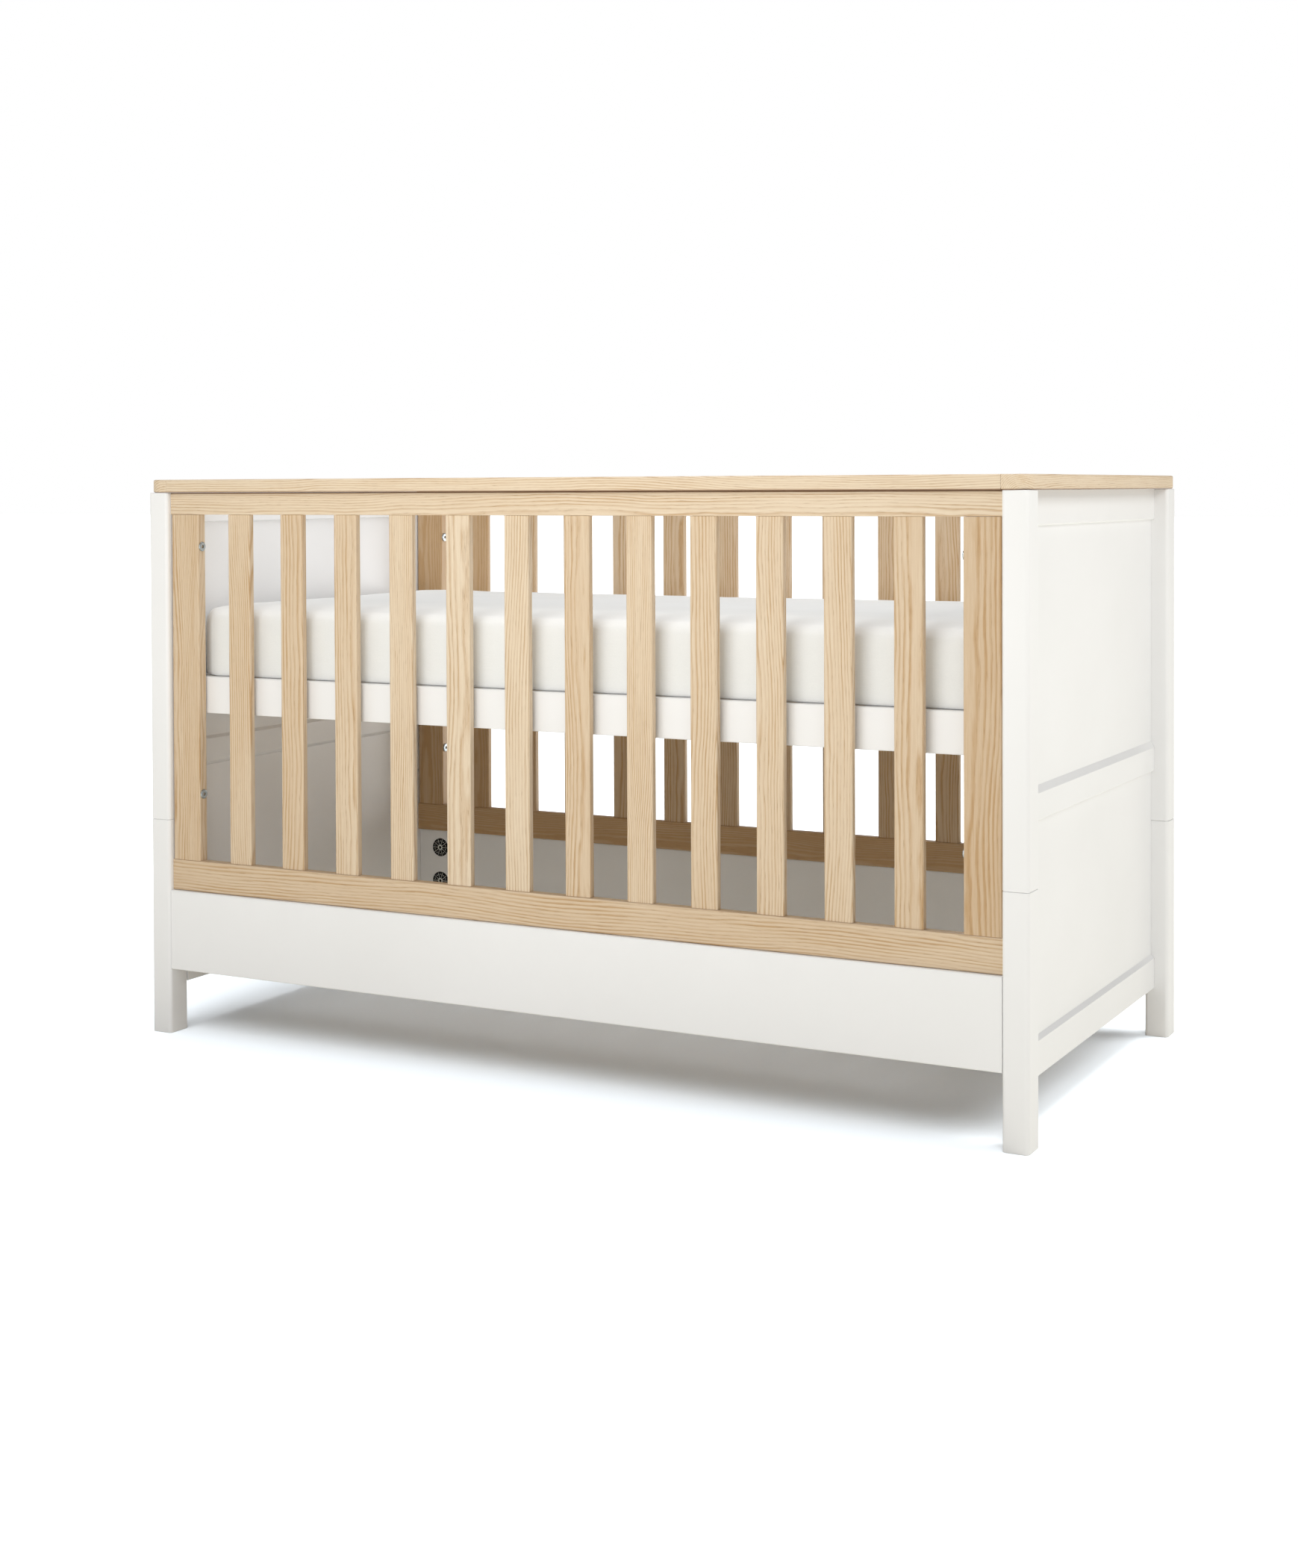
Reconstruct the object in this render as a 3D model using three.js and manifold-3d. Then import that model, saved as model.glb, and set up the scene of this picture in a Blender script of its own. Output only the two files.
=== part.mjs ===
// Baby cot bed: an oak-and-white cot with slatted sides, panelled ends that part into an upper
// and a lower section, a height-adjustable mattress base and a mattress.
// Millimetres. X runs along the bed, -Y is the front side, +Z is up. The origin lies on the
// floor under the middle of the bed.

import * as THREE from 'three';
import { mergeVertices } from 'three/addons/utils/BufferGeometryUtils.js';
import Module from 'manifold-3d';

const wasm = await Module();
wasm.setup();

// ---------------------------------------------------------------- driving dimensions

// Over the outsides of the posts, and up to the top of the oak cap.
const overall = { length: 1490, width: 762, height: 906 };

// The gap that every glued or bolted joint keeps, and what a loose piece keeps to its seat.
const jointGap = 0.3;

// A post is two lengths on end: the lower one comes off when the cot becomes a low bed.
const post = { alongX: 38, alongY: 45, edgeRadius: 6, lowerHeight: 350, endBevel: 0.8 };

// Oak cap laid round the top. The end caps run across the bed and have round outer corners.
const cap = { thickness: 21, overhang: 1.5, edgeRadius: 2.5, cornerRadius: 25 };

// Oak side frame: two rails, two end stiles and a row of slats.
const frame = {
  thickness: 18.5, setBack: 9.3, edgeRadius: 2,
  topRailHeight: 35.5, bottomRailHeight: 50, stileWidth: 54, stileToPost: 2.2,
};
const slat = {
  count: 12, width: 42.7, thickness: 12.7, edgeRadius: 2.5, endGap: 58.3,
  tenonWidth: 34, tenonThickness: 8, tenonLength: 12, tenonClearance: 0.3,
};

// White board under each side frame, held to the posts by turning cam locks on its inner face.
const skirt = { height: 130, thickness: 18, setBack: 3, edgeRadius: 2.5, floorGap: 105 };
const cam = {
  diameter: 35, bodyDepth: 12, stand: 1.6, rimWidth: 2.5, faceRecess: 1.2, hubDiameter: 15,
  edge: 0.6, fromPost: 46, spacing: 64, clearance: 0.3, sides: 20,
};

// White end boards: rails stand proud of a thinner field on both faces.
const endBoard = {
  thickness: 16, outerRecess: 5.5, innerRecess: 4,
  topRailHeight: 49, midRailHeight: 48, bottomRailHeight: 55,
  midRailBottom: 430, bottomRailBottom: 78, softEdge: 1.5,
  outerBevel: 10, innerBevel: 5, bottomBevel: 6,
};

// Mattress base in its highest place, and the mattress on it.
const base = {
  deckHeight: 584.5, railHeight: 60, railThickness: 20, sideClearance: 4, endClearance: 5,
  slatCount: 13, slatWidth: 62, slatThickness: 12, edgeRadius: 2, housing: 2,
};
const mattress = {
  thickness: 115, endClearance: 7, sideClearance: 3.2, cornerRadius: 55, edgeRadius: 18,
};

const finishes = {
  oak: { color: '#dccaa9', roughness: 0.55, metalness: 0 },
  whitePaint: { color: '#eceee9', roughness: 0.38, metalness: 0 },
  blackPlastic: { color: '#1b1b1d', roughness: 0.45, metalness: 0 },
  ticking: { color: '#f3f4f3', roughness: 0.9, metalness: 0 },
};

// ---------------------------------------------------------------- sizes worked out from them

const half = { length: overall.length / 2, width: overall.width / 2 };
const underCap = overall.height - cap.thickness - jointGap;
const insideX = half.length - post.alongX;
const frameFront = -half.width + frame.setBack;
const frameInner = frameFront + frame.thickness;
const frameMiddle = (frameFront + frameInner) / 2;
const skirtTop = skirt.floorGap + skirt.height;
const bottomRail = {
  low: skirtTop + jointGap,
  high: skirtTop + jointGap + frame.bottomRailHeight,
};
const topRail = { low: underCap - frame.topRailHeight, high: underCap };
const railHalfLength = insideX - jointGap;
const stileOuter = insideX - frame.stileToPost;
const slatRowHalf = stileOuter - frame.stileWidth - slat.endGap - slat.width / 2;
const slatPitch = 2 * slatRowHalf / (slat.count - 1);
const slatPlaces = Array.from({ length: slat.count }, (_, i) => -slatRowHalf + i * slatPitch);

// How far a cutting tool stands out of the face that it cuts, and the most of a half width that
// a round corner may take.
const toolMouth = 1;
const roundShare = 0.95;

// ---------------------------------------------------------------- shapes

/** Rectangle centred on the origin, each corner an arc of the given radius. */
function roundedRectangle(width, height, radius) {
  const [x, y] = [width / 2, height / 2];
  const r = Math.min(radius, x * roundShare, y * roundShare);
  const shape = new THREE.Shape();
  shape.moveTo(x - r, -y);
  shape.absarc(x - r, -y + r, r, -Math.PI / 2, 0, false);
  shape.absarc(x - r, y - r, r, 0, Math.PI / 2, false);
  shape.absarc(-x + r, y - r, r, Math.PI / 2, Math.PI, false);
  shape.absarc(-x + r, -y + r, r, Math.PI, Math.PI * 1.5, false);
  shape.closePath();
  return shape;
}

/** Closed outline through a list of [x, y] points. */
function outline(points) {
  return new THREE.Shape(points.map(([x, y]) => new THREE.Vector2(x, y)));
}

/** Prism from z = 0 to z = length, its two ends eased by a bevel that keeps the outline's size. */
function prism(shape, length, { bevel = 0, bevelSteps = 1, arcSteps = 3 } = {}) {
  const geometry = new THREE.ExtrudeGeometry(shape, {
    depth: length - 2 * bevel,
    curveSegments: arcSteps,
    bevelEnabled: bevel > 0,
    bevelThickness: bevel,
    bevelSize: bevel,
    bevelOffset: -bevel,
    bevelSegments: bevelSteps,
  });
  return geometry.translate(0, 0, bevel);
}

/** Turns a prism that stands on z = 0 so that it runs along +X; its outline lies in Y and Z. */
function layAlongX(geometry) {
  return geometry.rotateZ(Math.PI / 2).rotateY(Math.PI / 2);
}

/** Turns a prism that stands on z = 0 so that it runs along -Y; its outline lies in X and Z. */
function layAlongY(geometry) {
  return geometry.rotateX(Math.PI / 2);
}

/** Board with eased long edges, centred on the origin, its length along X. */
function boardAlongX(length, depth, height, radius) {
  const section = roundedRectangle(depth, height, radius);
  return layAlongX(prism(section, length)).translate(-length / 2, 0, 0);
}

/** Board with eased long edges, standing on z = 0. */
function uprightBoard(width, depth, height, radius) {
  return prism(roundedRectangle(width, depth, radius), height);
}

/** Plain box between two opposite corners. */
function boxBetween(low, high) {
  const size = high.map((value, i) => value - low[i]);
  const middle = high.map((value, i) => (value + low[i]) / 2);
  return new THREE.BoxGeometry(...size).translate(...middle);
}

/** Closed mesh as a solid that can be joined and cut. */
function solid(geometry) {
  const bare = geometry.clone();
  bare.deleteAttribute('normal');
  bare.deleteAttribute('uv');
  const merged = mergeVertices(bare, 1e-4);
  return new wasm.Manifold(new wasm.Mesh({
    numProp: 3,
    vertProperties: new Float32Array(merged.attributes.position.array),
    triVerts: new Uint32Array(merged.index.array),
  }));
}

/** Solid as a mesh geometry again. */
function geometryOf(body) {
  const mesh = body.getMesh();
  const geometry = new THREE.BufferGeometry();
  geometry.setAttribute('position', new THREE.BufferAttribute(mesh.vertProperties, 3));
  geometry.setIndex(new THREE.BufferAttribute(mesh.triVerts, 1));
  geometry.computeVertexNormals();
  return geometry;
}

/** The first geometry with all the others cut out of it. */
function cut(geometry, tools) {
  return geometryOf(tools.reduce((body, tool) => body.subtract(solid(tool)), solid(geometry)));
}

/** All the geometries as one body. */
function join(geometries) {
  return geometryOf(geometries.map(solid).reduce((body, other) => body.add(other)));
}

/** Named mesh with a material of its own. */
function piece(name, geometry, finish, [x, y, z] = [0, 0, 0]) {
  const mesh = new THREE.Mesh(geometry, new THREE.MeshStandardMaterial(finishes[finish]));
  mesh.name = name;
  mesh.position.set(x, y, z);
  return mesh;
}

// ---------------------------------------------------------------- slatted sides

/** Rail with a mortise for every slat; the mortises open upwards or downwards. */
function slottedRail(height, opensUp) {
  const rail = boardAlongX(2 * railHalfLength, frame.thickness, height, frame.edgeRadius);
  const width = slat.tenonWidth + 2 * slat.tenonClearance;
  const thickness = slat.tenonThickness + 2 * slat.tenonClearance;
  const depth = slat.tenonLength + slat.tenonClearance;
  const mortises = slatPlaces.map((x) => {
    const tool = new THREE.BoxGeometry(width, thickness, depth + toolMouth);
    const centre = height / 2 - depth / 2 + toolMouth / 2;
    return tool.translate(x, 0, opensUp ? centre : -centre);
  });
  return cut(rail, mortises);
}

/** Slat between the rails, standing on z = 0, with a tenon at each end. */
function slatWithTenons() {
  const height = topRail.low - bottomRail.high - 2 * jointGap;
  const reach = slat.tenonLength + jointGap - slat.tenonClearance;
  const body = uprightBoard(slat.width, slat.thickness, height, slat.edgeRadius);
  const tenon = boxBetween(
    [-slat.tenonWidth / 2, -slat.tenonThickness / 2, -reach],
    [slat.tenonWidth / 2, slat.tenonThickness / 2, height + reach],
  );
  return join([body, tenon]);
}

/** Cam lock: a round body whose face has a rim and a hub. Its axis is Y and its face +Y. */
function camLock() {
  const radius = cam.diameter / 2 - cam.clearance;
  const back = cam.clearance - cam.bodyDepth;
  const hub = cam.hubDiameter / 2;
  const floor = cam.stand - cam.faceRecess;
  const profile = [
    [0, back], [radius, back], [radius, cam.stand - cam.edge], [radius - cam.edge, cam.stand],
    [radius - cam.rimWidth, cam.stand], [radius - cam.rimWidth - cam.edge, floor],
    [hub + cam.edge, floor], [hub, cam.stand], [0, cam.stand],
  ];
  return new THREE.LatheGeometry(profile.map(([r, y]) => new THREE.Vector2(r, y)), cam.sides);
}

/** Where the cam locks of one skirt sit, as [end, level, x, z]; end 0 is the -X one. */
function camPlaces() {
  const middle = skirt.floorGap + skirt.height / 2;
  const places = [];
  for (const [end, sign] of [[0, -1], [1, 1]]) {
    for (const [level, step] of [['upper', 1], ['lower', -1]]) {
      places.push([end, level, sign * (insideX - cam.fromPost), middle + step * cam.spacing / 2]);
    }
  }
  return places;
}

/** Skirt board with a round pocket for each cam lock in its inner face. */
function skirtBoard() {
  const front = -half.width + skirt.setBack;
  const middleZ = skirt.floorGap + skirt.height / 2;
  const board = boardAlongX(2 * railHalfLength, skirt.thickness, skirt.height, skirt.edgeRadius);
  board.translate(0, front + skirt.thickness / 2, middleZ);
  const inner = front + skirt.thickness;
  const pockets = camPlaces().map(([, , x, z]) => {
    const radius = cam.diameter / 2;
    const depth = cam.bodyDepth + toolMouth;
    const tool = new THREE.CylinderGeometry(radius, radius, depth, cam.sides);
    return tool.translate(x, inner + toolMouth - depth / 2, z);
  });
  return cut(board, pockets);
}

/** One long side, modelled at the front; ends holds the names of its -X and +X ends. */
function side(name, ends) {
  const group = new THREE.Group();
  const railZ = (rail) => (rail.low + rail.high) / 2;
  const railPlace = (rail) => [0, frameMiddle, railZ(rail)];
  group.add(piece(`${name}_top_rail`, slottedRail(frame.topRailHeight, false), 'oak',
    railPlace(topRail)));
  group.add(piece(`${name}_bottom_rail`, slottedRail(frame.bottomRailHeight, true), 'oak',
    railPlace(bottomRail)));

  const stileHeight = topRail.low - bottomRail.high - 2 * jointGap;
  for (const [i, sign] of [[0, -1], [1, 1]]) {
    const stile = uprightBoard(frame.stileWidth, frame.thickness, stileHeight, frame.edgeRadius);
    group.add(piece(`${name}_${ends[i]}_stile`, stile, 'oak',
      [sign * (stileOuter - frame.stileWidth / 2), frameMiddle, bottomRail.high + jointGap]));
  }

  slatPlaces.forEach((x, i) => {
    const number = String(i + 1).padStart(2, '0');
    group.add(piece(`${name}_slat_${number}`, slatWithTenons(), 'oak',
      [x, frameMiddle, bottomRail.high + jointGap]));
  });

  const depth = cap.overhang + frame.setBack + frame.thickness;
  const longCap = boardAlongX(2 * railHalfLength, depth, cap.thickness, cap.edgeRadius);
  group.add(piece(`${name}_cap`, longCap, 'oak',
    [0, -half.width - cap.overhang + depth / 2, overall.height - cap.thickness / 2]));

  group.add(piece(`${name}_skirt`, skirtBoard(), 'whitePaint'));
  const skirtInner = -half.width + skirt.setBack + skirt.thickness;
  for (const [end, level, x, z] of camPlaces()) {
    group.add(piece(`${name}_${ends[end]}_${level}_cam`, camLock(), 'blackPlastic',
      [x, skirtInner, z]));
  }
  return group;
}

// ---------------------------------------------------------------- panelled ends

/** Post length with round edges, standing on z = 0. */
function postLength(height) {
  const section = roundedRectangle(post.alongX, post.alongY, post.edgeRadius);
  return prism(section, height, { bevel: post.endBevel, arcSteps: 4 });
}

/** Section of the upper end board in X and Z: a field between two rails, x = 0 at its inner face. */
function upperBoardSection() {
  const { thickness: out, softEdge: soft, outerBevel, innerBevel } = endBoard;
  const [inField, outField] = [endBoard.innerRecess, out - endBoard.outerRecess];
  const low = endBoard.midRailBottom;
  const ledge = low + endBoard.midRailHeight;
  const high = underCap;
  const lip = high - endBoard.topRailHeight;
  return outline([
    [inField, low], [out - soft, low], [out, low + soft], [out, ledge - outerBevel],
    [outField, ledge], [outField, lip], [out - soft, lip], [out, lip + soft],
    [out, high], [0, high], [0, lip + soft], [soft, lip],
    [inField, lip], [inField, ledge], [0, ledge - innerBevel], [0, low + innerBevel],
  ]);
}

/** Section of the lower end board: a field over a rail, x = 0 at its inner face. */
function lowerBoardSection() {
  const { thickness: out, softEdge: soft, bottomBevel } = endBoard;
  const [inField, outField] = [endBoard.innerRecess, out - endBoard.outerRecess];
  const low = endBoard.bottomRailBottom;
  const ledge = low + endBoard.bottomRailHeight;
  const high = endBoard.midRailBottom - jointGap;
  return outline([
    [soft, low], [out - soft, low], [out, low + soft], [out, ledge - bottomBevel],
    [outField, ledge], [outField, high], [inField, high], [inField, ledge],
    [0, ledge - bottomBevel], [0, low + soft],
  ]);
}

/** End board between the posts from one of the two sections. */
function endBoardFrom(section) {
  const span = overall.width - 2 * post.alongY - 2 * jointGap;
  return layAlongY(prism(section, span)).translate(0, span / 2, 0);
}

/** Oak cap across one end: two round outer corners, square where the long caps meet it. */
function endCap() {
  const y = half.width + cap.overhang;
  const outer = half.length + cap.overhang;
  const inner = insideX;
  const r = Math.min(cap.cornerRadius, (outer - inner) * roundShare);
  const shape = new THREE.Shape();
  shape.moveTo(inner, -y);
  shape.lineTo(outer - r, -y);
  shape.absarc(outer - r, -y + r, r, -Math.PI / 2, 0, false);
  shape.absarc(outer - r, y - r, r, 0, Math.PI / 2, false);
  shape.lineTo(inner, y);
  shape.closePath();
  const options = { bevel: cap.edgeRadius, bevelSteps: 2, arcSteps: 7 };
  return prism(shape, cap.thickness, options);
}

/** One end, modelled at +X; corners holds the names of its -Y and +Y corners. */
function end(name, corners) {
  const group = new THREE.Group();
  const x = half.length - post.alongX / 2;
  for (const [i, sign] of [[0, -1], [1, 1]]) {
    const y = sign * (half.width - post.alongY / 2);
    const lower = postLength(post.lowerHeight - jointGap);
    const upper = postLength(underCap - post.lowerHeight);
    group.add(piece(`${corners[i]}_lower_post`, lower, 'whitePaint', [x, y, 0]));
    group.add(piece(`${corners[i]}_upper_post`, upper, 'whitePaint', [x, y, post.lowerHeight]));
  }
  const boardPlace = [insideX, 0, 0];
  group.add(piece(`${name}_upper_board`, endBoardFrom(upperBoardSection()), 'whitePaint',
    boardPlace));
  group.add(piece(`${name}_lower_board`, endBoardFrom(lowerBoardSection()), 'whitePaint',
    boardPlace));
  group.add(piece(`${name}_cap`, endCap(), 'oak', [0, 0, overall.height - cap.thickness]));
  return group;
}

// ---------------------------------------------------------------- base and mattress

/** Mattress base: two side rails, two end rails and a row of cross slats, glued up as one. */
function mattressBase() {
  const x = insideX - base.endClearance;
  const y = -frameInner - base.sideClearance;
  const [low, high] = [base.deckHeight - base.railHeight, base.deckHeight];
  const rails = [-1, 1].map((sign) => {
    const rail = boardAlongX(2 * x, base.railThickness, base.railHeight, base.edgeRadius);
    return rail.translate(0, sign * (y - base.railThickness / 2), (low + high) / 2);
  });
  const reach = y - base.railThickness + base.housing;
  const endLow = low + base.housing;
  const ends = [-1, 1].map((sign) => {
    const [near, far] = [x - base.railThickness, x].map((value) => sign * value);
    return boxBetween([Math.min(near, far), -reach, endLow], [Math.max(near, far), reach, high]);
  });
  const pitch = 2 * (x - base.railThickness) / base.slatCount;
  const slats = Array.from({ length: base.slatCount }, (_, i) => {
    const middle = (i - (base.slatCount - 1) / 2) * pitch;
    return boxBetween(
      [middle - base.slatWidth / 2, -reach, high - base.slatThickness],
      [middle + base.slatWidth / 2, reach, high],
    );
  });
  return join([...rails, ...ends, ...slats]);
}

/** Foam mattress with round corners and soft edges, standing on z = 0. */
function mattressBlock() {
  const length = 2 * (insideX - mattress.endClearance);
  const width = 2 * (-frameInner - mattress.sideClearance);
  const shape = roundedRectangle(length, width, mattress.cornerRadius);
  const options = { bevel: mattress.edgeRadius, bevelSteps: 3, arcSteps: 5 };
  return prism(shape, mattress.thickness, options);
}

// ---------------------------------------------------------------- assembly

const cot = new THREE.Group();

const front = side('front', ['left', 'right']);
const back = side('back', ['right', 'left']);
back.rotation.z = Math.PI;

const right = end('right_end', ['front_right', 'back_right']);
const left = end('left_end', ['back_left', 'front_left']);
left.rotation.z = Math.PI;

cot.add(front, back, right, left);
cot.add(piece('mattress_base', mattressBase(), 'whitePaint'));
cot.add(piece('mattress', mattressBlock(), 'ticking', [0, 0, base.deckHeight + jointGap]));

export default cot;
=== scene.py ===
"""Cot bed in pale oak and white paint: finishes, fittings, mattress and studio round its CAD frame.

Lengths are in metres. X runs along the bed, -Y is its front side and +Z is up.
"""
import logging
import math
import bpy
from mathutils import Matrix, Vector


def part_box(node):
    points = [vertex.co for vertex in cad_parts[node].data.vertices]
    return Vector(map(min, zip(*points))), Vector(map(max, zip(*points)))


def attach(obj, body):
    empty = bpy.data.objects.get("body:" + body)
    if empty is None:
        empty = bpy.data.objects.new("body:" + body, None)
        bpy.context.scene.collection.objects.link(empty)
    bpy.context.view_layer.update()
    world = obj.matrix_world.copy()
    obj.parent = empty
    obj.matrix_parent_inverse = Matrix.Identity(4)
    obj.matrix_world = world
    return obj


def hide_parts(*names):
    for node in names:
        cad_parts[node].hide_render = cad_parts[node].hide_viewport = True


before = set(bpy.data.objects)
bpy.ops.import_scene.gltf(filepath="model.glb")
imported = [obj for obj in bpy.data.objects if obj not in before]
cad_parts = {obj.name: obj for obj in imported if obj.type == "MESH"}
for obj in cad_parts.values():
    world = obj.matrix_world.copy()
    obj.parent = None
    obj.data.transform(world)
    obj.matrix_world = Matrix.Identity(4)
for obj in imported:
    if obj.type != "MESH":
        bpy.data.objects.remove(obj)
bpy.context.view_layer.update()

import zlib
from dataclasses import dataclass
from enum import Enum

import bmesh
import bpy
import numpy as np
from mathutils import Matrix, Quaternion, Vector

log = logging.getLogger("cot")

MM = 0.001
Colour = tuple[float, float, float, float]
Value = float | tuple | bpy.types.NodeSocket
END_SIGN = {"left": -1, "right": 1}
SIDE_SIGN = {"front": -1, "back": 1}


# ---- small helpers


def srgb(red: int, green: int, blue: int) -> Colour:
    """Turns a colour of 0 to 255 as a screen shows it into the linear one that shaders take.

    Args:
        red: the red share.
        green: the green share.
        blue: the blue share.

    Returns:
        The linear colour with full alpha.
    """
    screen = np.array([red, green, blue]) / 255
    linear = np.where(screen <= 0.04045, screen / 12.92, ((screen + 0.055) / 1.055) ** 2.4)
    return (*(float(value) for value in linear), 1.0)


def seeded(name: str) -> np.random.Generator:
    """Returns the random numbers that belong to a name, the same in every run."""
    return np.random.default_rng(zlib.crc32(name.encode()))


def ramp(value: np.ndarray, low: float, high: float) -> np.ndarray:
    """Eases from 0 at low to 1 at high by the cubic 3t^2 - 2t^3, and is flat outside them.

    Args:
        value: what is eased.
        low: where it starts to rise.
        high: where it reaches 1.

    Returns:
        The eased values, from 0 to 1.
    """
    t = np.clip((value - low) / (high - low), 0, 1)
    return t * t * (3 - 2 * t)


def points_of(mesh: bpy.types.Mesh) -> np.ndarray:
    """Returns a mesh's points as an array of rows x, y, z."""
    flat = np.empty(len(mesh.vertices) * 3)
    mesh.vertices.foreach_get("co", flat)
    return flat.reshape(-1, 3)


def move_points(mesh: bpy.types.Mesh, points: np.ndarray) -> None:
    """Puts a mesh's points where the rows of an array say."""
    mesh.vertices.foreach_set("co", points.astype(np.float32).ravel())
    mesh.update()


def add_object(name: str, mesh: bpy.types.Mesh) -> bpy.types.Object:
    """Links a new object that shows a mesh."""
    thing = bpy.data.objects.new(name, mesh)
    bpy.context.scene.collection.objects.link(thing)
    return thing


# ---- shader graphs


class Graph:
    """Builds a node tree in short calls whose inputs are numbers, tuples or other sockets."""

    def __init__(self, tree: bpy.types.NodeTree) -> None:
        """Keeps the tree that the calls add to."""
        self.tree = tree

    def add(self, kind: str, feeds: dict[int | str, Value], **settings: object) -> bpy.types.Node:
        """Adds a node.

        Args:
            kind: the node's type.
            feeds: what goes into its sockets, by name or number.
            settings: the node's own properties.

        Returns:
            The node.
        """
        node = self.tree.nodes.new(kind)
        for name, setting in settings.items():
            setattr(node, name, setting)
        for key, value in feeds.items():
            if isinstance(value, bpy.types.NodeSocket):
                self.tree.links.new(value, node.inputs[key])
            else:
                node.inputs[key].default_value = value
        return node

    def math(self, operation: str, *values: Value) -> bpy.types.NodeSocket:
        """Returns the result of a sum on single numbers."""
        return self.add("ShaderNodeMath", dict(enumerate(values)), operation=operation).outputs[0]

    def vector(self, operation: str, *values: Value) -> bpy.types.NodeSocket:
        """Returns the result of a sum on vectors."""
        feeds = dict(enumerate(values))
        return self.add("ShaderNodeVectorMath", feeds, operation=operation).outputs[0]

    def ease(self, value: Value, low: Value, high: Value) -> bpy.types.NodeSocket:
        """Returns 0 below low and 1 above high, with a smooth step between them."""
        feeds = {"Value": value, "From Min": low, "From Max": high}
        node = self.add("ShaderNodeMapRange", feeds, interpolation_type="SMOOTHSTEP")
        return node.outputs["Result"]

    def noise(self, place: Value, detail: float = 2.0, rough: float = 0.5) -> bpy.types.NodeSocket:
        """Returns soft noise about 0.5, with features one unit across."""
        feeds = {"Vector": place, "Scale": 1.0, "Detail": detail, "Roughness": rough}
        return self.add("ShaderNodeTexNoise", feeds).outputs["Fac"]

    def mix(self, share: Value, first: Value, second: Value) -> bpy.types.NodeSocket:
        """Returns the first colour turned towards the second by a share from 0 to 1."""
        node = self.add("ShaderNodeMix", {0: share, 6: first, 7: second}, data_type="RGBA")
        return node.outputs[2]

    def bump(self, height: Value, depth: float) -> bpy.types.NodeSocket:
        """Returns the normal of a surface that a height from 0 to 1 raises by a depth."""
        return self.add("ShaderNodeBump", {"Height": height, "Distance": depth}).outputs["Normal"]


@dataclass(frozen=True)
class Effect:
    """Shader node group that several materials share. It is built when it is first placed.

    A subclass gives its sockets and fills its tree.
    """

    name: str
    takes: tuple[tuple[str, str, float | None], ...]
    gives: tuple[str, ...]

    def fill(self, graph: Graph, source: bpy.types.Node) -> dict[str, bpy.types.NodeSocket]:
        """Adds the group's nodes and returns its outputs by name."""
        raise NotImplementedError

    def tree(self) -> bpy.types.NodeTree:
        """Finds the group, and builds it the first time.

        Returns:
            The group's node tree.
        """
        found = bpy.data.node_groups.get(self.name)
        if found is not None:
            return found
        tree = bpy.data.node_groups.new(self.name, "ShaderNodeTree")
        for label, kind, start in self.takes:
            socket = tree.interface.new_socket(label, in_out="INPUT", socket_type=kind)
            if start is not None:
                socket.default_value = start
        for label in self.gives:
            tree.interface.new_socket(label, in_out="OUTPUT", socket_type="NodeSocketFloat")
        graph = Graph(tree)
        source = graph.add("NodeGroupInput", {})
        graph.add("NodeGroupOutput", self.fill(graph, source))
        return tree

    def place(self, graph: Graph, **feeds: Value) -> bpy.types.Node:
        """Places the group in a material.

        Args:
            graph: the material's graph.
            feeds: values by socket name, with _ for each space.

        Returns:
            The group's node, with an output for each name in gives.
        """
        named = {key.replace("_", " "): value for key, value in feeds.items()}
        return graph.add("ShaderNodeGroup", named, node_tree=self.tree())


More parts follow.
